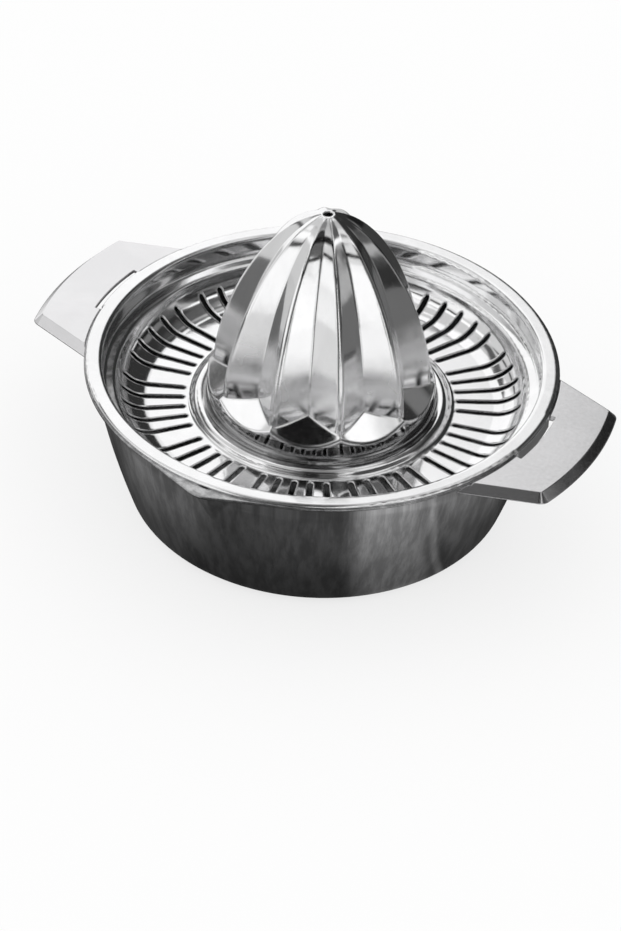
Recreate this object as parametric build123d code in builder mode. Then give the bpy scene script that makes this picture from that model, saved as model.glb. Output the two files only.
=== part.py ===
"""Bowl-type citrus juicer: a juice bowl with two lug handles and a lift-off reamer strainer.

Millimetres, +Z up. The origin is the centre of the bowl's underside, and +X runs along the handles.
"""
import os
from math import atan2, copysign, cos, degrees, hypot, radians, sin, sqrt, tan

from build123d import *

# Juice bowl, a deep-drawn sheet shell
bowl_sheet = 0.7                # thickness of the bowl's sheet
bowl_height = 46.7              # underside to the top face of the rim lip
bowl_mouth_radius = 66.8        # outside of the wall just below the rim lip
bowl_foot_radius = 55.6         # outside of the wall, carried straight down to the underside
bowl_wall_bulge = 0.8           # how far the wall stands proud of a straight cone
bowl_corner_radius = 7.0        # outside bend between the bottom and the wall
bowl_neck_bend = 10.0           # outside bend between the wall and the straight neck
rim_lip_width = 3.6             # flat lip that stands out from the mouth

# Pouring lip, pressed out of the bowl's rim midway between the handles
spout_angle = -90.0             # direction seen from above
spout_half_width = 18.5         # half of the stretch of wall that it takes up
spout_reach = 4.45              # how far it stands out at the rim
spout_tip_round = 5.0           # bend at its tip
spout_drop = 26.0               # height over which it runs out into the wall

# Reamer strainer, one pressed sheet
strainer_sheet = 0.7            # thickness of the strainer's sheet
strainer_gap = 0.5              # radial gap between the strainer's wall and the bowl's neck
neck_margin = 0.4               # how far the neck runs on below the strainer's wall
hem_depth = 1.1                 # height of the turned-down edge that stands on the rim lip
hem_setback = 0.4               # how far the hem stands back from the rim lip's edge
hem_bend = 0.1                  # inside bend of the hem
flange_bend = 0.5               # inside bend between the flange and the wall
wall_depth = 6.7                # flange to ledge
ledge_width = 3.8               # flat step at the foot of the wall
ledge_fall = 0.5                # fall of the ledge towards the middle
ledge_bend = 1.0                # inside bend between the wall and the ledge
ledge_edge_bend = 0.3           # inside bend between the ledge and the lower wall
dish_depth = 15.0               # flange to slotted floor
dish_lean = 3.0                 # how far the lower wall leans in
dish_bend = 9.3                 # large inside bend between the lower wall and the floor
shoulder_width = 4.9            # reamer's plinth to the foot of the shoulder
shoulder_height = 2.2           # floor to the crest of the shoulder
shoulder_fall = 0.4             # fall of the crest towards the plinth
shoulder_lean = 1.5             # run of the shoulder's outer face
shoulder_bend = 1.8             # inside bend over the crest
foot_bend = 1.8                 # inside bend between the shoulder and the floor
cove_bend = 0.6                 # inside bend between the plinth and the shoulder

# Drain slots, five between each pair of ridges
slots_per_flute = 5
slot_width = 1.7
slot_pitch_angle = 6.5          # angle between neighbouring slots of one group
slot_inner_margin = 1.5         # shoulder's foot to the slots' inner ends
slot_outer_margin = 1.6         # ledge's inner corner to the slots' outer ends

# Fluted reamer
flute_count = 10
flute_turn = 2.0                # flutes against the groups of slots, in degrees
flute_fade = 0.55               # share of their depth that the flutes lose at the tip
reamer_height = 52.0            # flange to tip
ridge_radius = 33.2             # over the ridges at the foot
valley_radius = 26.6            # to the creases between them at the foot
ridge_foot_drop = 4.5           # flange down to the level where the ridges stand straight
profile_power = 1.66            # fullness of the pointed arch that the ridges follow
profile_steps = 9               # sections along the arch
ridge_round = 1.7               # bend along a ridge at the foot
crease_round = 0.5              # bend along a crease at the foot
crown_radius = 2.1              # flat at the tip
juice_hole_radius = 1.35        # small hole in the tip
plinth_radius = 34.0            # round foot that the flutes run out on
plinth_edge_round = 1.0         # bend over the plinth's rim
plinth_skirt = 0.3              # straight part of the plinth's side above the cove
flute_floor_drop = 1.4          # flange down to the inner end of a flute's sloping floor
flute_floor_slope = 40.0        # fall of a flute's floor
flute_floor_hollow = 44.0       # radius of the floor's hollow across the flute

# Locating tabs, bent down from the flange through the rim lip and the handles
tab_half_angle = 8.5
tab_reach = 0.5                 # flange's edge to the outer face of the tab
tab_bend = 0.3                  # inside bend of the tab
tab_length = 4.6                # flange's top to the tab's lower end
tab_end_clearance = 0.7         # at each end of the tab
tab_inner_clearance = 0.5       # between the tab and the opening's inner side
tab_outer_clearance = 1.8       # between the tab and the opening's outer side

# Lug handles, pressed sheet, joggled under the rim lip so that their tops lie flush with it
handle_sheet = 1.0
seam_gap = 0.2                  # between the rim lip's edge and the handle's flush top
handle_reach = 16.3             # strainer flange's edge to the handle's outer crease
handle_half_width = 22.5        # at the outer crease
handle_flare = 18.0             # angle by which each side runs out towards the bowl
handle_corner_round = 1.0
border_width = 2.4              # turned-down border, seen from above
border_depth = 2.6              # turned-down border, seen from the side
apron_depth = 5.5               # strip bent down against the bowl's neck
apron_half_angle = 20.0
apron_bend = 1.0                # inside bend between the apron and the handle's top
apron_gap = 0.35                # between the apron and the neck

# Places that follow from the sizes above
rim_lip_radius = bowl_mouth_radius + rim_lip_width
rim_lip_underside = bowl_height - bowl_sheet
flange_top = bowl_height + hem_depth
flange_radius = rim_lip_radius - hem_setback
neck_foot = flange_top - wall_depth - strainer_sheet - neck_margin
strainer_wall_radius = bowl_mouth_radius - bowl_sheet - strainer_gap - strainer_sheet
ledge_inner_radius = strainer_wall_radius - ledge_width
floor_height = flange_top - dish_depth
shoulder_crest = floor_height + shoulder_height
cove_corner = shoulder_crest - shoulder_fall
plinth_bottom = cove_corner + 2 * cove_bend + plinth_skirt
shoulder_foot_radius = plinth_radius + shoulder_width
ridge_foot = flange_top - ridge_foot_drop
reamer_tip = flange_top + reamer_height
flute_angle = 360 / flute_count
tab_outer_radius = flange_radius + tab_reach
handle_crease_radius = flange_radius + handle_reach
overcut = 2.0                   # how far a cutting shape runs past what it cuts
tolerance = 0.01                # for telling edges apart by their place
least_bend = 0.05               # where a straight run leaves no room for a larger one


def polar_point(radius, angle):
    """Point at a radius and an angle in degrees."""
    return (radius * cos(radians(angle)), radius * sin(radians(angle)))


def sheet_section(plane, corners, bends, sheet):
    """Section of a bent sheet: one face through the corners, the other face to their left.

    The bends are inside radii, made smaller where the runs beside them are too short.
    """
    corners = [Vector(*corner) for corner in corners]
    runs = [end - start for start, end in zip(corners, corners[1:])]
    lefts = [run.normalized().rotate(Axis.Z, 90) * sheet for run in runs]
    turns = [atan2(run.cross(following).Z, run.dot(following)) for run, following in zip(runs, runs[1:])]
    radii = [bend + sheet if turn > 0 else bend for bend, turn in zip(bends, turns)]
    tangents = [radius * tan(abs(turn) / 2) for radius, turn in zip(radii, turns)]
    rooms = [run.length / (start + end) for run, start, end in zip(runs, [0] + tangents, tangents + [0])]
    face_bends, back_bends, back = [], [], [corners[0] + lefts[0]]
    for place, turn in enumerate(turns):
        radius = radii[place] * min(1, rooms[place], rooms[place + 1])
        face_bends.append(max(radius, least_bend))
        back_bends.append(max(radius - copysign(sheet, turn), least_bend))
        mitre = (lefts[place] + lefts[place + 1]) / (1 + cos(turn))
        back.append(corners[place + 1] + mitre)
    back.append(corners[-1] + lefts[-1])
    with BuildSketch(plane) as section:
        with BuildLine():
            FilletPolyline(*corners, radius=face_bends)
            FilletPolyline(*back, radius=back_bends)
            Line(corners[0], back[0])
            Line(corners[-1], back[-1])
        make_face()
    return section.sketch


def tab_opening(height):
    """Opening that the right tab passes through, seen from above."""
    inner = tab_outer_radius - strainer_sheet - tab_inner_clearance
    outer = tab_outer_radius + tab_outer_clearance
    half_angle = tab_half_angle + degrees(tab_end_clearance / tab_outer_radius)
    with BuildSketch(Plane.XY.offset(height)) as opening:
        with BuildLine():
            CenterArc((0, 0), outer, -half_angle, 2 * half_angle)
            CenterArc((0, 0), inner, -half_angle, 2 * half_angle)
            Line(polar_point(inner, half_angle), polar_point(outer, half_angle))
            Line(polar_point(inner, -half_angle), polar_point(outer, -half_angle))
        make_face()
    return opening.sketch


# ---------------------------------------------------------------- juice bowl
def bowl_wall_radius(height):
    """Outside radius of the bowl's wall, a cone with a slight bulge below a straight neck."""
    share = min(1, height / neck_foot)
    cone = bowl_foot_radius + (bowl_mouth_radius - bowl_foot_radius) * share
    return cone + 4 * bowl_wall_bulge * share * (1 - share)


def bowl_form(inset, top):
    """Solid of revolution of the bowl without its lips, inset by a sheet's thickness."""
    corner = (bowl_wall_radius(inset) - inset, inset)
    middle = (bowl_wall_radius(neck_foot / 2) - inset, neck_foot / 2)
    neck = (bowl_mouth_radius - inset, neck_foot)
    mouth = (bowl_mouth_radius - inset, rim_lip_underside)
    with BuildPart() as form:
        with BuildSketch(Plane.XZ) as half:
            with BuildLine():
                Polyline(neck, mouth, (0, rim_lip_underside), (0, inset), corner)
                ThreePointArc(corner, middle, neck)
            make_face()
            fillet(half.vertices().sort_by_distance(corner)[0], bowl_corner_radius - inset)
            fillet(half.vertices().sort_by_distance(neck)[0], bowl_neck_bend - inset)
        revolve(axis=Axis.Z)
        if top > rim_lip_underside:
            with BuildSketch(Plane.XY.offset(rim_lip_underside)):
                Circle(bowl_mouth_radius - inset)
            extrude(amount=top - rim_lip_underside)
    return form.part


def spout_outline(height, radius, half_width, reach, inset):
    """Rounded V seen from above, its sides running out of a circle of the given radius."""
    with BuildSketch(Plane.XY.offset(height).rotated((0, 0, spout_angle))) as outline:
        with BuildLine():
            Polyline(
                (radius / 2, -half_width), (sqrt(radius ** 2 - half_width ** 2), -half_width),
                (radius + reach, 0),
                (sqrt(radius ** 2 - half_width ** 2), half_width), (radius / 2, half_width),
                close=True,
            )
        make_face()
        fillet(outline.vertices().sort_by(Axis.X)[-1], spout_tip_round)
        offset(amount=-inset, kind=Kind.INTERSECTION)
    return outline.sketch


def spout_form(inset, top):
    """Wedge that widens up the wall into the pouring lip, inset by a sheet's thickness."""
    foot_height = rim_lip_underside - spout_drop
    foot_width = 2 * spout_tip_round
    with BuildPart() as form:
        lower = spout_outline(foot_height, bowl_wall_radius(foot_height) - spout_reach, foot_width / 2,
                              spout_reach, inset)
        upper = spout_outline(rim_lip_underside, bowl_mouth_radius, spout_half_width, spout_reach, inset)
        loft([lower, upper])
        if top > rim_lip_underside:
            extrude(upper, amount=top - rim_lip_underside)
    return form.part


with BuildPart() as juice_bowl:
    add(bowl_form(0, rim_lip_underside))
    add(spout_form(0, rim_lip_underside))
    with BuildSketch(Plane.XY.offset(rim_lip_underside)):
        Circle(rim_lip_radius)
        add(spout_outline(rim_lip_underside, bowl_mouth_radius, spout_half_width, spout_reach,
                          -rim_lip_width))
    extrude(amount=bowl_sheet)
    add(bowl_form(bowl_sheet, bowl_height), mode=Mode.SUBTRACT)
    add(spout_form(bowl_sheet, bowl_height), mode=Mode.SUBTRACT)
    with BuildSketch(Plane.XY.offset(rim_lip_underside)):
        with PolarLocations(0, 2):
            add(tab_opening(0))
    extrude(amount=bowl_sheet, mode=Mode.SUBTRACT)
juice_bowl.part.label = "juice_bowl"


# ---------------------------------------------------------------- fluted reamer
def arch_share(step):
    """Radius and height, as shares of the whole, along the pointed arch of the reamer."""
    lowest_radius = crown_radius / ridge_radius
    last = degrees(atan2(sqrt(1 - lowest_radius ** profile_power), lowest_radius ** (profile_power / 2)))
    turn = radians(last * step / profile_steps)
    return cos(turn) ** (2 / profile_power), sin(turn) ** (2 / profile_power)


def star_outline(height, ridge, valley, rounding):
    """Outline with one rounded ridge and one crease per flute."""
    with BuildSketch(Plane.XY.offset(height).rotated((0, 0, flute_turn))) as outline:
        with BuildLine():
            corners = []
            for flute in range(flute_count):
                corners.append(polar_point(valley, flute * flute_angle))
                corners.append(polar_point(ridge, (flute + 0.5) * flute_angle))
            Polyline(*corners, close=True)
        make_face()
        fillet(outline.vertices().sort_by_distance((0, 0, 0))[flute_count:], ridge_round * rounding)
        fillet(outline.vertices().sort_by_distance((0, 0, 0))[:flute_count], crease_round * rounding)
    return outline.sketch


def fluted_cone(sheet, bottom):
    """Fluted cone down to bottom; a sheet above zero gives the cone's hollow inside."""
    half_flute = radians(flute_angle / 2)
    ridge_point = (ridge_radius * cos(half_flute), ridge_radius * sin(half_flute))
    flank = atan2(ridge_point[1], ridge_point[0] - valley_radius)
    ridge_inset = sheet / sin(flank - half_flute)
    valley_inset = sheet / sin(flank)
    sections = []
    for step in range(profile_steps + 1):
        radius_share, height_share = arch_share(step)
        height = ridge_foot + (reamer_tip - ridge_foot) * height_share - sheet
        ridge = ridge_radius * radius_share
        depth = (ridge_radius - valley_radius) * radius_share * (1 - flute_fade * height_share ** 4)
        inset_share = radius_share if step == profile_steps else 1
        sections.append(star_outline(height, ridge - ridge_inset * inset_share,
                                     ridge - depth - valley_inset * inset_share, radius_share))
    with BuildPart() as cone:
        loft(sections)
        foot = star_outline(ridge_foot - sheet, ridge_radius - ridge_inset, valley_radius - valley_inset, 1)
        extrude(foot, amount=-(ridge_foot - sheet - bottom))
    return cone.part


def plinth(sheet, bottom):
    """Round foot with one hollow, sloping floor per flute; a sheet above zero gives its inside."""
    apex_height = flange_top - flute_floor_drop - sheet / cos(radians(flute_floor_slope))
    apex_radius = valley_radius
    rise = (sin(radians(flute_floor_slope)), cos(radians(flute_floor_slope)))
    centre_radius = apex_radius + flute_floor_hollow * rise[0]
    hollow_centre = (centre_radius, 0, apex_height + flute_floor_hollow * rise[1])
    radius = plinth_radius - sheet
    with BuildPart() as foot:
        with BuildSketch(Plane.XY.offset(bottom)):
            Circle(radius)
        extrude(amount=apex_height - bottom)
        with PolarLocations(0, flute_count, start_angle=flute_turn):
            with Locations(Location(hollow_centre, (0, 90 + flute_floor_slope, 0))):
                Cylinder(flute_floor_hollow, 3 * radius, mode=Mode.SUBTRACT)
        if sheet == 0:
            rim = foot.edges().filter_by(lambda edge: (edge @ 0.5).Z > bottom + tolerance)
            rim = rim.filter_by(lambda edge: hypot((edge @ 0.5).X, (edge @ 0.5).Y) > radius - tolerance)
            fillet(rim, plinth_edge_round)
    return foot.part


with BuildPart() as reamer_shell:
    add(fluted_cone(0, plinth_bottom))
    add(plinth(0, plinth_bottom))
    add(fluted_cone(strainer_sheet, plinth_bottom - overcut), mode=Mode.SUBTRACT)
    add(plinth(strainer_sheet, plinth_bottom - overcut), mode=Mode.SUBTRACT)

# ---------------------------------------------------------------- strainer dish with the reamer
dish_corners = [
    (flange_radius, bowl_height),
    (flange_radius, flange_top),
    (strainer_wall_radius, flange_top),
    (strainer_wall_radius, flange_top - wall_depth),
    (ledge_inner_radius, flange_top - wall_depth - ledge_fall),
    (ledge_inner_radius - dish_lean, floor_height),
    (shoulder_foot_radius, floor_height),
    (shoulder_foot_radius - shoulder_lean, shoulder_crest),
    (plinth_radius, cove_corner),
    (plinth_radius, plinth_bottom),
]
dish_bends = [
    hem_bend, flange_bend, ledge_bend, ledge_edge_bend, dish_bend, foot_bend, shoulder_bend, cove_bend,
]
tab_corners = [
    (tab_outer_radius, flange_top - tab_length),
    (tab_outer_radius, flange_top),
    (flange_radius - hem_bend - strainer_sheet, flange_top),
]
with BuildPart() as reamer_strainer:
    revolve(sheet_section(Plane.XZ, dish_corners, dish_bends, strainer_sheet), axis=Axis.Z)
    add(reamer_shell.part)
    slot_inner_end = shoulder_foot_radius + slot_inner_margin
    slot_outer_end = ledge_inner_radius - slot_outer_margin
    with BuildSketch(Plane.XY.offset(floor_height - overcut)):
        for slot in range(slots_per_flute):
            turn = (slot - (slots_per_flute - 1) / 2) * slot_pitch_angle
            with PolarLocations((slot_inner_end + slot_outer_end) / 2, flute_count, start_angle=turn):
                SlotOverall(slot_outer_end - slot_inner_end, slot_width)
    extrude(amount=overcut + dish_depth - wall_depth, mode=Mode.SUBTRACT)
    with BuildSketch(Plane.XY.offset(reamer_tip)):
        Circle(juice_hole_radius)
    extrude(amount=-2 * overcut, mode=Mode.SUBTRACT)
    for side in (0, 180):
        tab_plane = Plane.XZ.rotated((0, 0, side - tab_half_angle))
        tab_section = sheet_section(tab_plane, tab_corners, [tab_bend], strainer_sheet)
        revolve(tab_section, axis=Axis.Z, revolution_arc=2 * tab_half_angle)
reamer_strainer.part.label = "reamer_strainer"


# ---------------------------------------------------------------- lug handles
def handle_outline(height, inset):
    """Flat top of the right handle, carried on under the bowl, inset by a margin."""
    reach_in = bowl_foot_radius
    corner = (sqrt(handle_crease_radius ** 2 - handle_half_width ** 2), handle_half_width)
    root = (reach_in, corner[1] + (corner[0] - reach_in) * tan(radians(handle_flare)))
    with BuildSketch(Plane.XY.offset(height)) as outline:
        with BuildLine():
            ThreePointArc((corner[0], -corner[1]), (handle_crease_radius, 0), corner)
            Polyline(corner, root, (root[0], -root[1]), (corner[0], -corner[1]))
        make_face()
        fillet(outline.vertices().sort_by(Axis.X)[-2:], handle_corner_round)
        offset(amount=-inset, kind=Kind.INTERSECTION)
    return outline.sketch


apron_radius = bowl_mouth_radius + apron_gap
apron_foot = rim_lip_underside - apron_depth
apron_corners = [
    (apron_radius + 2 * (apron_bend + handle_sheet), rim_lip_underside),
    (apron_radius, rim_lip_underside),
    (apron_radius, apron_foot),
]
border_slope = degrees(atan2(border_width, border_depth))
border_inset = handle_sheet * (1 / cos(radians(border_slope)) - tan(radians(border_slope)))
with BuildPart() as right_handle:
    extrude(handle_outline(bowl_height, 0), amount=-border_depth, taper=-border_slope)
    inner_top = bowl_height - handle_sheet
    extrude(handle_outline(inner_top, border_inset), amount=-border_depth, taper=-border_slope,
            mode=Mode.SUBTRACT)
    with BuildSketch(Plane.XY.offset(rim_lip_underside)):
        Circle(rim_lip_radius + seam_gap)
    extrude(amount=bowl_sheet, mode=Mode.SUBTRACT)
    with BuildSketch(Plane.XY.offset(rim_lip_underside)):
        Circle(rim_lip_radius + seam_gap + handle_sheet)
        add(handle_outline(rim_lip_underside, 0), mode=Mode.INTERSECT)
    extrude(amount=-handle_sheet)
    with BuildSketch(Plane.XY.offset(rim_lip_underside)):
        Circle(apron_radius + apron_bend + handle_sheet)
    extrude(amount=-border_depth - overcut, mode=Mode.SUBTRACT)
    apron_plane = Plane.XZ.rotated((0, 0, -apron_half_angle))
    apron_section = sheet_section(apron_plane, apron_corners, [apron_bend], handle_sheet)
    revolve(apron_section, axis=Axis.Z, revolution_arc=2 * apron_half_angle)
    extrude(tab_opening(bowl_height), amount=-bowl_sheet - handle_sheet, mode=Mode.SUBTRACT)
right_handle.part.label = "right_handle"

with BuildPart() as left_handle:
    add(right_handle.part.rotate(Axis.Z, 180))
left_handle.part.label = "left_handle"

# ---------------------------------------------------------------- files
os.makedirs("parts", exist_ok=True)
export_step(juice_bowl.part, "parts/juice_bowl.step")
export_step(left_handle.part, "parts/left_handle.step")
export_step(right_handle.part, "parts/right_handle.step")
export_step(reamer_strainer.part, "parts/reamer_strainer.step")
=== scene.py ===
"""Looks of a bowl citrus juicer: polished reamer strainer, brushed bowl and satin lug handles."""

import logging
from dataclasses import dataclass
from enum import Enum
from math import cos, pi, radians, sin

import bpy
from mathutils import Matrix, Vector


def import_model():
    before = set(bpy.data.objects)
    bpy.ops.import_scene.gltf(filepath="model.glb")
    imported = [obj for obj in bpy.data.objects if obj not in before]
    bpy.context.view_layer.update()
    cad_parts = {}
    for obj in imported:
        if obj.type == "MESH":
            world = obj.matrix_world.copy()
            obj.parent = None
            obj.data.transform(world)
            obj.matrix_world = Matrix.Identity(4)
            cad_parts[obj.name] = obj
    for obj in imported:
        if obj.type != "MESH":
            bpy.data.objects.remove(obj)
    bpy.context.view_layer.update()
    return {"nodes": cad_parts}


LOG = logging.getLogger("juicer")

HALF_TURN = 180.0  # degrees
DEGREES = HALF_TURN / pi  # in one radian

Socket = bpy.types.NodeSocket
Value = float | Socket
Range = tuple[float, float]
Colour = tuple[float, float, float]
Paint = tuple[float, float, float, float]
Scale = tuple[float, float, float]


class Node(Enum):
    """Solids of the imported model."""

    BOWL = "juice_bowl"
    LEFT = "left_handle"
    RIGHT = "right_handle"
    STRAINER = "reamer_strainer"


class Mixed(Enum):
    """What a Mix node mixes, with the places of its first and second input and of its output."""

    FLOAT = (2, 3, 0)
    RGBA = (6, 7, 2)


def solid(colour: Colour, share: float = 1.0) -> Paint:
    """Opaque colour as a socket takes it, darkened to a share."""
    return (*(value * share for value in colour), 1.0)


def grey(value: float) -> Paint:
    """Neutral colour of one value, as a socket takes it."""
    return (value, value, value, 1.0)


@dataclass
class NodeTree:
    """Small helper that adds and links shader nodes.

    Attributes:
        tree: The node tree that is filled.
    """

    tree: bpy.types.NodeTree

    def add(self, kind: str, **values: object) -> bpy.types.Node:
        """Adds one node.

        Args:
            kind: The node's type name.
            values: Properties of the node, or names of its inputs with underscores for spaces.

        Returns:
            The new node.
        """
        node = self.tree.nodes.new(kind)
        for name, value in values.items():
            if hasattr(node, name):
                setattr(node, name, value)
            else:
                node.inputs[name.replace("_", " ")].default_value = value
        return node

    def link(self, source: Socket, target: Socket) -> None:
        """Joins an output to an input."""
        self.tree.links.new(source, target)

    def feed(self, value: Value | Paint, target: Socket) -> None:
        """Gives an input a number or a colour, or joins an output to it.

        Args:
            value: The number, the colour or the output.
            target: The input.
        """
        if isinstance(value, Socket):
            self.link(value, target)
        else:
            target.default_value = value

    def maths(self, operation: str, *values: Value) -> Socket:
        """Adds a Math node.

        Args:
            operation: What the node does.
            values: Numbers or outputs for its inputs, in order.

        Returns:
            The result.
        """
        node = self.add("ShaderNodeMath", operation=operation)
        for target, value in zip(node.inputs, values):
            self.feed(value, target)
        return node.outputs[0]

    def axes(self, place: Socket) -> tuple[Socket, ...]:
        """Splits a place or direction.

        Args:
            place: What is split.

        Returns:
            Its X, Y and Z.
        """
        parts = self.add("ShaderNodeSeparateXYZ")
        self.link(place, parts.inputs[0])
        return tuple(parts.outputs)

    def spread(
        self,
        value: Socket,
        source: Range,
        target: Range = (0.0, 1.0),
        smooth: bool = False,
    ) -> Socket:
        """Adds a node that maps one range to another and holds the value at both ends.

        Args:
            value: What is mapped.
            source: Values that become the ends of the new range.
            target: Ends of the new range.
            smooth: Whether the slope eases in and out.

        Returns:
            The mapped value.
        """
        shape = "SMOOTHSTEP" if smooth else "LINEAR"
        node = self.add("ShaderNodeMapRange", interpolation_type=shape)
        for name, end in zip(("From Min", "From Max", "To Min", "To Max"), (*source, *target)):
            node.inputs[name].default_value = end
        self.link(value, node.inputs["Value"])
        return node.outputs["Result"]

    def band(self, angle: Socket, half: float, edge: float) -> Socket:
        """Adds a soft-edged band: 1 while an angle from its middle is under half, 0 past the edge.

        Args:
            angle: Degrees from the band's middle.
            half: Half of the band's width.
            edge: Width of the soft edge.

        Returns:
            The band's share.
        """
        size = self.maths("ABSOLUTE", angle)
        return self.spread(size, (half + edge / 2, half - edge / 2), smooth=True)

    def blend(
        self,
        share: Socket,
        first: Value | Paint,
        second: Value | Paint,
        kind: Mixed = Mixed.FLOAT,
        label: str = "",
    ) -> Socket:
        """Adds a node that mixes two numbers or two colours.

        Args:
            share: Share of the second.
            first: What shows at a share of 0.
            second: What shows at a share of 1.
            kind: Whether numbers or colours are mixed.
            label: What the node is for.

        Returns:
            The mixture.
        """
        first_input, second_input, output = kind.value
        mix = self.add("ShaderNodeMix", data_type=kind.name, label=label)
        self.link(share, mix.inputs["Factor"])
        self.feed(first, mix.inputs[first_input])
        self.feed(second, mix.inputs[second_input])
        return mix.outputs[output]

    def choose(self, share: Socket, first: Socket, second: Socket) -> Socket:
        """Adds a node that mixes two shaders.

        Args:
            share: Share of the second.
            first: Shader that shows at a share of 0.
            second: Shader that shows at a share of 1.

        Returns:
            The mixed shader.
        """
        mix = self.add("ShaderNodeMixShader")
        for source, target in zip((share, first, second), mix.inputs):
            self.link(source, target)
        return mix.outputs[0]


@dataclass(frozen=True)
class SteelFinish:
    """Stainless steel with the waves of its pressing and the fine marks of its finishing.

    Attributes:
        name: The material's name.
        colour: Colour of the bare metal.
        roughness: Mean roughness.
        roughness_spread: How much the roughness varies with the finishing marks.
        mark_scale: Finishing marks per metre, along X, Y and Z.
        mark_depth: Depth of the finishing marks, in metres.
        wave_scale: Waves of the pressed sheet per metre, along X, Y and Z.
        wave_depth: Depth of the waves, in metres.
        smear: Share by which the metal darkens in soft smears.
        smear_scale: Smears per metre, along X, Y and Z.
        smear_swirl: How much the smears are swirled.
        smear_range: Part of the smears' pattern over which the metal goes from dark to bare.
        mark_range: Part of the marks' pattern over which the roughness goes from low to high.
        mark_detail: Number of finer layers in the finishing marks.
        wave_detail: Number of finer layers in the waves.
        smear_detail: Number of finer layers in the smears.
        layer_strength: How strong each finer layer is beside the one before it.
        edge_radius: Radius by which reflections round the edges, in metres.
        edge_samples: Number of samples that find the edges.
        wear: Roughness that rubbing adds in a band near the reamer's foot.
        haze: Share of the metal's mirror that fine scratches turn matt in that band.
        wear_low: Height at which the band starts.
        wear_high: Height at which it ends.
        wear_fade: Height over which it fades in and out.
        mottle_range: Part of the waves' pattern that breaks the band up.
        mottle_share: Share of the wear at the ends of that range.
        groove_shade: Painted shade: share by which the metal's colour is darkened in the groove
            round the reamer's foot, in place of the dark reflections there.
        groove_shade_radii: Distances from the axis between which the groove and its painted shade
            lie.
        groove_shade_top: Height at which the groove's painted shade ends.
        groove_shade_fade: Distance over which it fades out.
    """

    name: str
    colour: Colour
    roughness: float
    roughness_spread: float
    mark_scale: Scale
    mark_depth: float
    wave_scale: Scale
    wave_depth: float
    smear: float
    smear_scale: Scale
    smear_swirl: float = 0.6
    smear_range: Range = (0.35, 0.68)
    mark_range: Range = (0.25, 0.75)
    mark_detail: float = 4.0
    wave_detail: float = 2.0
    smear_detail: float = 5.0
    layer_strength: float = 0.6
    edge_radius: float = 0.001
    edge_samples: int = 8
    wear: float = 0.0
    haze: float = 0.0
    wear_low: float = 0.047
    wear_high: float = 0.062
    wear_fade: float = 0.006
    mottle_range: Range = (0.3, 0.7)
    mottle_share: Range = (0.5, 1.1)
    groove_shade: float = 0.0
    groove_shade_radii: Range = (0.0338, 0.0347)
    groove_shade_top: float = 0.0405
    groove_shade_fade: float = 0.0006

    def noise(
        self,
        nodes: NodeTree,
        place: Socket,
        scale: Scale,
        detail: float,
        swirl: float = 0.0,
    ) -> Socket:
        """Adds a noise pattern stretched along the axes.

        Args:
            nodes: Tree that gets the nodes.
            place: Object coordinates.
            scale: Repeats per metre along each axis.
            detail: Number of finer layers.
            swirl: How much the pattern is swirled.

        Returns:
            The pattern, from 0 to 1.
        """
        stretch = nodes.add("ShaderNodeMapping", Scale=scale)
        nodes.link(place, stretch.inputs["Vector"])
        pattern = nodes.add("ShaderNodeTexNoise", Scale=1.0, Detail=detail, Distortion=swirl)
        pattern.inputs["Roughness"].default_value = self.layer_strength
        nodes.link(stretch.outputs["Vector"], pattern.inputs["Vector"])
        return pattern.outputs["Fac"]

    def rubbed(self, nodes: NodeTree, place: Socket, mottle: Socket) -> Socket:
        """Adds the mottled band that rubbing has dulled.

        Args:
            nodes: Tree that gets the nodes.
            place: Object coordinates.
            mottle: Pattern that breaks the band up.

        Returns:
            The band's share, from 0 to about 1.
        """
        height = nodes.axes(place)[2]
        low, high, fade = self.wear_low, self.wear_high, self.wear_fade
        rising = nodes.spread(height, (low, low + fade), smooth=True)
        falling = nodes.spread(height, (high + fade, high), smooth=True)
        broken = nodes.spread(mottle, self.mottle_range, self.mottle_share)
        return nodes.maths("MULTIPLY", nodes.maths("MULTIPLY", rising, falling), broken)

    def shade_groove(self, nodes: NodeTree, place: Socket, colour: Socket) -> Socket:
        """Paints shade into the groove round the reamer by darkening the metal's colour.

        Args:
            nodes: Tree that gets the nodes.
            place: Object coordinates.
            colour: Colour of the metal elsewhere.

        Returns:
            The colour with the painted groove shade in it.
        """
        x, y, height = nodes.axes(place)
        square = nodes.maths("MULTIPLY_ADD", y, y, nodes.maths("MULTIPLY", x, x))
        radius = nodes.maths("SQRT", square)
        inner, outer = self.groove_shade_radii
        top, fade = self.groove_shade_top, self.groove_shade_fade
        inside = nodes.spread(radius, (inner - fade, inner), smooth=True)
        outside = nodes.spread(radius, (outer + fade, outer), smooth=True)
        under = nodes.spread(height, (top + fade, top), smooth=True)
        share = nodes.maths("MULTIPLY", nodes.maths("MULTIPLY", inside, outside), under)
        # Painted shade: the colour is darkened by this share in the groove round the reamer.
        darker = nodes.add("ShaderNodeVectorMath", operation="SCALE")
        nodes.link(colour, darker.inputs[0])
        nodes.link(nodes.maths("MULTIPLY_ADD", share, -self.groove_shade, 1.0), darker.inputs["Scale"])
        return darker.outputs[0]

    def tinted(self, nodes: NodeTree, place: Socket) -> Socket:
        """Adds the metal's colour with its smears, and the painted shade in the groove where the
        finish has one.

        Args:
            nodes: Tree that gets the nodes.
            place: Object coordinates.

        Returns:
            The colour.
        """
        smears = self.noise(nodes, place, self.smear_scale, self.smear_detail, self.smear_swirl)
        bare = nodes.spread(smears, self.smear_range, smooth=True)
        smeared = solid(self.colour, 1.0 - self.smear)
        colour = nodes.blend(bare, smeared, solid(self.colour), kind=Mixed.RGBA)
        # Painted shade in the groove round the reamer's foot, where the finish has one.
        return self.shade_groove(nodes, place, colour) if self.groove_shade else colour

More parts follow.
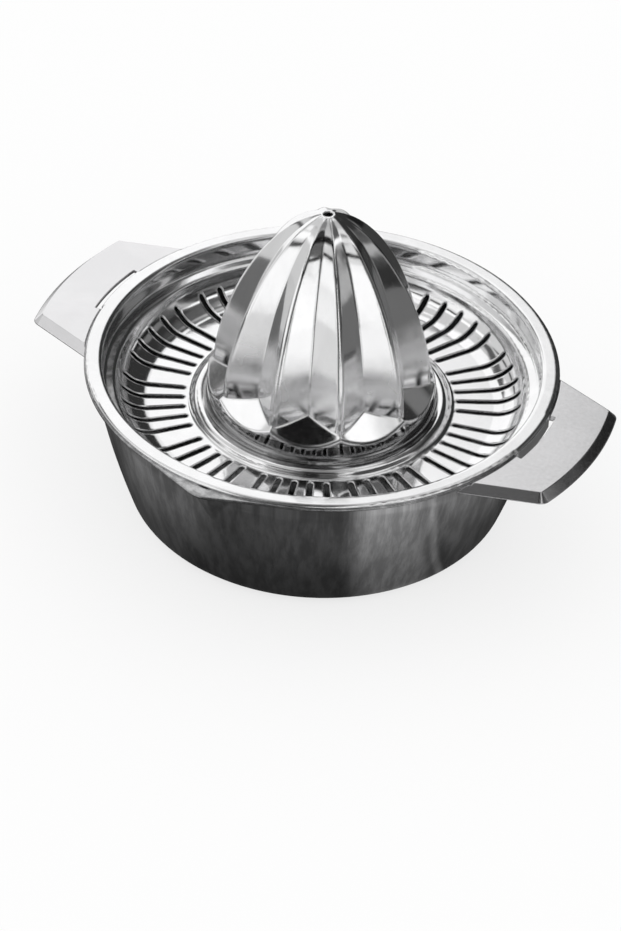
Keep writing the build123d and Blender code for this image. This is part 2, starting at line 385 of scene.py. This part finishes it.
    def embossed(self, nodes: NodeTree, waves: Socket, marks: Socket) -> Socket:
        """Adds rounded edges, the waves of the pressing and the finishing marks.

        Args:
            nodes: Tree that gets the nodes.
            waves: Pattern of the waves.
            marks: Pattern of the finishing marks.

        Returns:
            The surface's normal.
        """
        rounding = nodes.add("ShaderNodeBevel", samples=self.edge_samples, Radius=self.edge_radius)
        normal = rounding.outputs["Normal"]
        for pattern, depth in ((waves, self.wave_depth), (marks, self.mark_depth)):
            bump = nodes.add("ShaderNodeBump", Strength=1.0, Distance=depth)
            nodes.link(pattern, bump.inputs["Height"])
            nodes.link(normal, bump.inputs["Normal"])
            normal = bump.outputs["Normal"]
        return normal

    def build(self) -> bpy.types.Material:
        """Makes the material.

        Returns:
            The finished material.
        """
        material = bpy.data.materials.new(self.name)
        material.use_nodes = True
        nodes = NodeTree(material.node_tree)
        shader = material.node_tree.nodes["Principled BSDF"]
        shader.inputs["Metallic"].default_value = 1.0
        place = nodes.add("ShaderNodeTexCoord").outputs["Object"]
        marks = self.noise(nodes, place, self.mark_scale, self.mark_detail)
        waves = self.noise(nodes, place, self.wave_scale, self.wave_detail)
        lowest = self.roughness - self.roughness_spread
        highest = self.roughness + self.roughness_spread
        roughness = nodes.spread(marks, self.mark_range, (lowest, highest))
        if self.wear:
            band = self.rubbed(nodes, place, waves)
            roughness = nodes.maths("MULTIPLY_ADD", band, self.wear, roughness)
            mirror = nodes.maths("MULTIPLY_ADD", band, -self.haze, 1.0)
            nodes.link(mirror, shader.inputs["Metallic"])
        nodes.link(roughness, shader.inputs["Roughness"])
        nodes.link(self.tinted(nodes, place), shader.inputs["Base Color"])
        nodes.link(self.embossed(nodes, waves, marks), shader.inputs["Normal"])
        return material


@dataclass
class Camera:
    """Long-lens camera above the front right of the juicer.

    Attributes:
        azimuth: Degrees round from the front (-Y) towards +X.
        elevation: Degrees above the rim's plane.
        roll: Degrees that the picture is turned.
        distance: Metres from the rim's centre, along the view.
        offset: Metres by which the view's middle lies right of and above the rim's centre.
        rim_height: Height of the strainer's flange.
        lens: Focal length in millimetres.
        sensor: Width of the sensor in millimetres.
        clip: Nearest and farthest distance that the camera sees, in metres.
    """

    azimuth: float = 27.22
    elevation: float = 37.93
    roll: float = 2.4
    distance: float = 1.18557
    offset: tuple[float, float] = (-0.003484, -0.031613)
    rim_height: float = 0.0478
    lens: float = 232.52
    sensor: float = 36.0
    clip: Range = (0.05, 50.0)

    def build(self) -> bpy.types.Object:
        """Adds the camera and makes it the scene's.

        Returns:
            The camera object.
        """
        turn, lift, roll = radians(self.azimuth), radians(self.elevation), radians(self.roll)
        back = Vector((sin(turn) * cos(lift), -cos(turn) * cos(lift), sin(lift)))
        level = Vector((cos(turn), sin(turn), 0.0))
        upright = back.cross(level)
        right = level * cos(roll) + upright * sin(roll)
        up = upright * cos(roll) - level * sin(roll)
        place = back * self.distance + right * self.offset[0] + up * self.offset[1]
        place.z += self.rim_height
        bpy.ops.object.camera_add()
        camera = bpy.context.object
        camera.name = "camera"
        camera.data.sensor_fit = "HORIZONTAL"
        camera.data.sensor_width = self.sensor
        camera.data.lens = self.lens
        camera.data.clip_start, camera.data.clip_end = self.clip
        camera.matrix_world = Matrix((
            (right.x, up.x, back.x, place.x),
            (right.y, up.y, back.y, place.y),
            (right.z, up.z, back.z, place.z),
            (0.0, 0.0, 0.0, 1.0),
        ))
        bpy.context.scene.camera = camera
        return camera


@dataclass(frozen=True)
class Panel:
    """Soft-edged patch of the studio that the steel reflects, placed by direction.

    Attributes:
        name: What the patch stands for.
        azimuth: Degrees to the right of the camera's side, seen from above.
        elevation: Degrees above the floor.
        half_width: Half of its width in degrees of azimuth.
        half_height: Half of its height in degrees of elevation.
        edge: Width of its soft edge, in degrees.
        brightness: Radiance of the patch.
        slope: Degrees by which it rises for each degree to the right.
        bow: How much it drops away from its middle, in degrees for each square degree.
    """

    name: str
    azimuth: float
    elevation: float
    half_width: float
    half_height: float
    edge: float
    brightness: float
    slope: float = 0.0
    bow: float = 0.0


# In all three lists each patch lies over those before it.
STUDIO_PANELS = (
    Panel("upper room", 0.0, 66.0, 360.0, 16.0, 10.0, 0.52),
    Panel("left room", -112.0, 20.0, 74.0, 48.0, 16.0, 0.64),
    Panel("right room", 92.0, 20.0, 66.0, 44.0, 14.0, 0.10),
    Panel("right corner", 138.0, 20.0, 38.0, 28.0, 10.0, 0.03),
    Panel("back wall", 179.0, 30.0, 5.2, 30.0, 1.5, 0.92),
    Panel("back left wall", -161.0, 20.0, 20.0, 34.0, 4.0, 1.05),
    Panel("front shade", 0.0, 30.0, 24.0, 28.0, 10.0, 0.11),
    Panel("left pale wall", -70.0, 12.0, 20.0, 20.0, 8.0, 0.98),
    Panel("left flute softbox", -79.0, 46.6, 30.0, 5.0, 4.0, 1.1, 0.266, 0.0095),
    Panel("front flag", -17.0, 61.9, 40.0, 6.0, 4.0, 0.004, 0.075, 0.0022),
    Panel("right flute softbox", 62.0, 53.9, 31.0, 5.0, 4.0, 1.1, -0.302, 0.0063),
    Panel("right high softbox", 58.0, 61.5, 26.0, 8.0, 4.0, 0.80),
    Panel("left high softbox", -150.0, 67.0, 15.0, 6.0, 4.0, 1.05),
    Panel("back high softbox", 147.0, 67.0, 14.0, 4.0, 4.0, 1.0),
    Panel("left middle softbox", -80.0, 59.0, 14.0, 5.0, 4.0, 1.0),
    Panel("front high flag", 2.0, 72.0, 28.0, 6.0, 5.0, 0.03),
    Panel("right tip flag", 42.0, 63.5, 9.0, 5.0, 5.0, 0.22),
    Panel("back high flag", 177.0, 74.0, 12.0, 5.0, 5.0, 0.04),
    Panel("front left strip", -45.0, 18.0, 12.0, 13.0, 7.0, 1.05, -1.75),
    Panel("front strip", 14.0, 16.0, 8.0, 13.0, 7.0, 1.1, 2.4),
    Panel("front high strip", 29.0, 45.0, 8.0, 9.0, 6.0, 0.80, 1.4),
    Panel("front right strip", 28.0, 6.0, 8.0, 11.0, 6.0, 1.1, -2.2),
    Panel("right strip", 88.0, 18.0, 3.0, 20.0, 4.0, 0.45),
    Panel("right low flag", 74.0, 12.0, 8.0, 14.0, 6.0, 0.03),
    Panel("right back flag", 117.0, 12.0, 17.0, 4.0, 4.0, 0.01, -0.6),
    Panel("right grey wall", 114.0, 26.0, 11.0, 7.0, 5.0, 0.17),
    Panel("left back flag", -130.0, 17.0, 14.0, 3.0, 4.0, 0.10, 0.75),
    Panel("back flag", 143.0, 4.0, 7.0, 8.0, 6.0, 0.01),
    Panel("ceiling", 0.0, 90.0, 360.0, 10.0, 8.0, 0.22),
    Panel("front low flag", -6.0, 46.0, 7.0, 8.0, 3.0, 0.012),
    Panel("low bar", -2.0, 38.5, 86.0, 2.0, 1.5, 0.003),
    Panel("left low bar", -138.0, 37.0, 21.0, 5.0, 4.0, 0.10),
)

# The far floor, by direction from the middle of the juicer.
FLOOR_PANELS = (
    Panel("back left sheet", -155.0, 0.0, 25.0, 30.0, 6.0, 1.0),
    Panel("left back sheet", -119.0, 0.0, 12.0, 30.0, 6.0, 0.58),
    Panel("left sheet", -47.0, 0.0, 16.0, 30.0, 6.0, 0.74),
    Panel("front shade", -16.0, 0.0, 14.0, 30.0, 5.0, 0.05),
    Panel("front sheet", 20.0, 0.0, 24.0, 30.0, 5.0, 1.03),
    Panel("front sheet gap", 22.0, 0.0, 4.0, 30.0, 4.0, 0.45),
    Panel("right half shade", 52.0, 0.0, 7.0, 30.0, 5.0, 0.34),
    Panel("back right shade", 140.0, 0.0, 22.0, 30.0, 8.0, 0.045),
    Panel("back sheet", 173.0, 0.0, 8.0, 30.0, 5.0, 0.58),
)

# The floor close to the bowl.
NEAR_PANELS = (
    Panel("left haze", -66.0, 0.0, 22.0, 30.0, 14.0, 0.13),
    Panel("right haze", 27.0, 0.0, 12.0, 30.0, 14.0, 0.38),
    Panel("right pale haze", 62.0, 0.0, 16.0, 30.0, 12.0, 0.15),
    Panel("right streak", 43.0, 0.0, 1.5, 30.0, 2.0, 0.36),
)


@dataclass
class Studio:
    """White floor and surroundings, with panels and flags that only reflections show.

    Attributes:
        front: World azimuth of the camera's side, in degrees from +X.
        floor_size: Side of the square floor, in metres.
        floor_drop: Metres by which the floor lies under the bowl's base.
        floor_colour: Colour of the floor.
        floor_roughness: Roughness of the floor.
        floor_glow: Share of the floor that the camera sees as plain white, under the shadow.
        wall_brightness: Radiance of the studio between the panels.
        near_brightness: Radiance of the reflected floor close to the bowl, between its panels.
        far_brightness: Radiance of the reflected floor between its panels.
        near_radius: Metres from the middle at which the dark patch starts to fade.
        far_radius: Metres from the middle at which it has faded.
        shadow_radius: Metres from the middle at which the painted shadow of the bowl on the
            reflected floor is darkest, under the bowl's edge.
        open_radius: Metres from the middle at which the dark patch is at its brightest.
        shadow_share: Share of the dark patch's brightness where the painted shadow is darkest.
        open_share: Share of it at the open radius.
        cloud_scale: Clouds in the dark patch per metre.
        cloud_detail: Number of finer layers in the clouds.
        cloud_strength: How strong each finer layer is beside the one before it.
        cloud_swirl: How much the clouds are swirled.
        cloud_range: Part of the clouds' pattern over which the patch goes from dark to bright.
        cloud_share: Share of the patch's brightness at the ends of that range.
    """

    front: float = -62.8
    floor_size: float = 6.0
    floor_drop: float = 0.0002
    floor_colour: float = 0.96
    floor_roughness: float = 0.9
    floor_glow: float = 0.75
    wall_brightness: float = 0.30
    near_brightness: float = 0.07
    far_brightness: float = 0.15
    near_radius: float = 0.15
    far_radius: float = 0.23
    shadow_radius: float = 0.056
    open_radius: float = 0.088
    shadow_share: float = 0.48
    open_share: float = 1.8
    cloud_scale: float = 16.0
    cloud_detail: float = 4.0
    cloud_strength: float = 0.55
    cloud_swirl: float = 1.2
    cloud_range: Range = (0.3, 0.7)
    cloud_share: Range = (0.6, 1.4)

    def painted(
        self,
        nodes: NodeTree,
        position: Socket,
        panels: tuple[Panel, ...],
        base: float,
    ) -> Value:
        """Adds nodes that give the radiance in each direction.

        Args:
            nodes: Tree that gets the nodes.
            position: Direction, or place on the floor.
            panels: Patches, each laid over those before it.
            base: Radiance where no patch is.

        Returns:
            The radiance.
        """
        x, y, z = nodes.axes(position)
        azimuth = nodes.maths("MULTIPLY", nodes.maths("ARCTAN2", y, x), DEGREES)
        elevation = nodes.maths("MULTIPLY", nodes.maths("ARCSINE", z), DEGREES)
        shade: Value = base
        for panel in panels:
            across = nodes.maths("SUBTRACT", azimuth, self.front + panel.azimuth)
            across = nodes.maths("WRAP", across, HALF_TURN, -HALF_TURN)
            away = nodes.maths("SUBTRACT", elevation, panel.elevation)
            if panel.slope or panel.bow:
                steep = nodes.maths("MULTIPLY_ADD", across, -panel.bow, panel.slope)
                away = nodes.maths("SUBTRACT", away, nodes.maths("MULTIPLY", across, steep))
            wide = nodes.band(across, panel.half_width, panel.edge)
            high = nodes.band(away, panel.half_height, panel.edge)
            share = nodes.maths("MULTIPLY", wide, high)
            shade = nodes.blend(share, shade, panel.brightness, label=panel.name)
        return shade

    def mirrored(self, nodes: NodeTree, place: Socket) -> Socket:
        """Adds the radiance of the floor in reflections, darker and cloudy near the bowl, with a
        painted shadow of the bowl darkest under its edge.

        Args:
            nodes: Tree that gets the nodes.
            place: Object coordinates of the floor.

        Returns:
            The radiance.
        """
        far = self.painted(nodes, place, FLOOR_PANELS, self.far_brightness)
        near = self.painted(nodes, place, NEAR_PANELS, self.near_brightness)
        clouds = nodes.add("ShaderNodeTexNoise", Scale=self.cloud_scale, Detail=self.cloud_detail)
        clouds.inputs["Roughness"].default_value = self.cloud_strength
        clouds.inputs["Distortion"].default_value = self.cloud_swirl
        nodes.link(place, clouds.inputs["Vector"])
        cloudy = nodes.spread(clouds.outputs["Fac"], self.cloud_range, self.cloud_share)
        length = nodes.add("ShaderNodeVectorMath", operation="LENGTH")
        nodes.link(place, length.inputs[0])
        distance = length.outputs["Value"]
        # Painted shadow of the bowl on the floor that reflections show, darkest under the bowl's
        # edge.
        radii = (self.shadow_radius, self.open_radius)
        shares = (self.shadow_share, self.open_share)
        contact_shadow = nodes.spread(distance, radii, shares, smooth=True)
        near = nodes.maths("MULTIPLY", nodes.maths("MULTIPLY", near, cloudy), contact_shadow)
        fade = nodes.spread(distance, (self.near_radius, self.far_radius), smooth=True)
        return nodes.blend(fade, near, far)

    def paper(self) -> bpy.types.Material:
        """Makes the floor's material, which keeps the shadow and looks different in reflections.

        Returns:
            The finished material.
        """
        material = bpy.data.materials.new("floor_paper")
        material.use_nodes = True
        nodes = NodeTree(material.node_tree)
        paper = material.node_tree.nodes["Principled BSDF"]
        paper.inputs["Base Color"].default_value = grey(self.floor_colour)
        paper.inputs["Roughness"].default_value = self.floor_roughness
        paper.inputs["Specular IOR Level"].default_value = 0.0
        place = nodes.add("ShaderNodeTexCoord").outputs["Object"]
        mirrored = nodes.add("ShaderNodeEmission")
        nodes.link(self.mirrored(nodes, place), mirrored.inputs["Color"])
        white = nodes.add("ShaderNodeEmission", Color=grey(1.0), Strength=1.0)
        path = nodes.add("ShaderNodeLightPath")
        glow = nodes.maths("MULTIPLY", path.outputs["Is Camera Ray"], self.floor_glow)
        seen = nodes.choose(glow, paper.outputs["BSDF"], white.outputs["Emission"])
        shown = nodes.choose(path.outputs["Is Glossy Ray"], seen, mirrored.outputs["Emission"])
        nodes.link(shown, material.node_tree.nodes["Material Output"].inputs["Surface"])
        return material

    def floor(self) -> bpy.types.Object:
        """Adds the floor.

        Returns:
            The floor object.
        """
        middle = (0.0, 0.0, -self.floor_drop)
        bpy.ops.object.select_all(action="DESELECT")
        bpy.ops.mesh.primitive_plane_add(size=self.floor_size, location=middle)
        floor = bpy.context.object
        bpy.ops.object.transform_apply(location=True)
        floor.name = "floor"
        floor.data.materials.append(self.paper())
        return floor

    def world(self) -> None:
        """Sets the surroundings: plain white, and the panels where steel reflects them."""
        world = bpy.data.worlds.new("surroundings")
        world.use_nodes = True
        bpy.context.scene.world = world
        world.node_tree.nodes.clear()
        nodes = NodeTree(world.node_tree)
        direction = nodes.add("ShaderNodeTexCoord").outputs["Generated"]
        plain = nodes.add("ShaderNodeBackground", Color=grey(1.0), Strength=1.0)
        panels = nodes.add("ShaderNodeBackground", Strength=1.0)
        shade = self.painted(nodes, direction, STUDIO_PANELS, self.wall_brightness)
        nodes.feed(shade, panels.inputs["Color"])
        glossy = nodes.add("ShaderNodeLightPath").outputs["Is Glossy Ray"]
        shown = nodes.choose(glossy, plain.outputs["Background"], panels.outputs["Background"])
        nodes.link(shown, nodes.add("ShaderNodeOutputWorld").inputs["Surface"])


def coat(piece: bpy.types.Object, material: bpy.types.Material) -> None:
    """Puts one material into all of a piece's slots and reports it.

    Args:
        piece: The piece.
        material: Its material.
    """
    for slot in piece.material_slots:
        slot.material = material
    LOG.info("%s dressed in %s", piece.name, material.name)


@dataclass
class JuiceBowl:
    """Brushed bowl with its two welded lug handles.

    Attributes:
        wall: Finish of the bowl.
        lug: Finish of both handles.
    """

    wall: SteelFinish = SteelFinish(
        name="brushed_steel",
        colour=(0.54, 0.54, 0.545),
        roughness=0.2,
        roughness_spread=0.06,
        mark_scale=(600.0, 600.0, 24.0),
        mark_depth=0.000006,
        wave_scale=(60.0, 60.0, 14.0),
        wave_depth=0.0004,
        smear=0.4,
        smear_scale=(340.0, 340.0, 15.0),
        smear_swirl=0.15,
    )
    lug: SteelFinish = SteelFinish(
        name="satin_steel",
        colour=(0.82, 0.815, 0.825),
        roughness=0.17,
        roughness_spread=0.04,
        mark_scale=(900.0, 900.0, 900.0),
        mark_depth=0.000003,
        wave_scale=(25.0, 25.0, 25.0),
        wave_depth=0.00008,
        smear=0.05,
        smear_scale=(40.0, 40.0, 40.0),
        edge_radius=0.0004,
    )

    def dress(self, nodes: dict[str, bpy.types.Object]) -> None:
        """Gives the bowl and its handles their finishes.

        Args:
            nodes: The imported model's objects by name.
        """
        coat(nodes[Node.BOWL.value], self.wall.build())
        satin = self.lug.build()
        for handle in (Node.LEFT, Node.RIGHT):
            coat(nodes[handle.value], satin)


@dataclass
class ReamerStrainer:
    """Polished reamer and strainer, pressed from one sheet.

    Attributes:
        sheet: Finish of the whole sheet.
    """

    sheet: SteelFinish = SteelFinish(
        name="polished_steel",
        colour=(0.94, 0.94, 0.945),
        roughness=0.09,
        roughness_spread=0.03,
        mark_scale=(700.0, 700.0, 700.0),
        mark_depth=0.0000015,
        wave_scale=(90.0, 90.0, 60.0),
        wave_depth=0.00006,
        smear=0.06,
        smear_scale=(60.0, 60.0, 20.0),
        wear=0.13,
        haze=0.28,
        # Painted shade: the groove round the reamer's foot is darkened in the metal's colour.
        groove_shade=0.6,
    )

    def dress(self, nodes: dict[str, bpy.types.Object]) -> None:
        """Gives the strainer its finish."""
        coat(nodes[Node.STRAINER.value], self.sheet.build())


def main() -> None:
    """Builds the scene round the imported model."""
    logging.basicConfig(level=logging.INFO, format="%(name)s: %(message)s")
    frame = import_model()
    bpy.context.scene.view_settings.view_transform = "Standard"
    Camera().build()
    studio = Studio()
    studio.floor()
    studio.world()
    JuiceBowl().dress(frame["nodes"])
    ReamerStrainer().dress(frame["nodes"])


if __name__ == "__main__":
    main()
